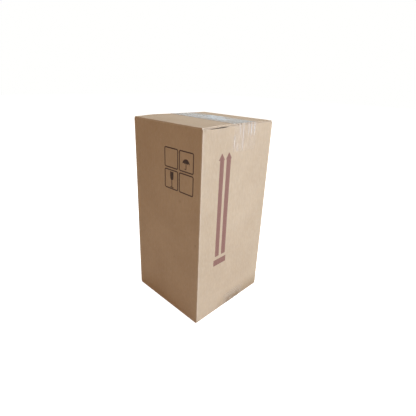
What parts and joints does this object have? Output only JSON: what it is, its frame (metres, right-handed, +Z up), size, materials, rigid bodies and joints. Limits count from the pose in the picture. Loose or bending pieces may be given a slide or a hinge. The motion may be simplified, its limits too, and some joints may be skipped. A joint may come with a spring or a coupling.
{
  "type": "packing box",
  "caption": "Tall square-based corrugated carton, folded shut and closed top and bottom with clear packing tape.",
  "frame": {"origin": "middle of the underside, on the surface that the carton stands on", "axes": "+Z up along the carton's height; +X along the seams of the outer flaps, towards the wall with the arrows; -Y towards the wall with the handling marks"},
  "size_m": [0.1474, 0.152, 0.3002],
  "materials": {
    "kraft_board": "matt brown kraft liner on corrugated board, with dark handling marks and red-brown arrows printed on it",
    "clear_tape": "clear glossy packing tape, slightly wrinkled"
  },
  "bodies": {
    "root": {"carton": "kraft_board", "top_tape": "clear_tape", "bottom_tape": "clear_tape"}
  },
  "joints": []
}
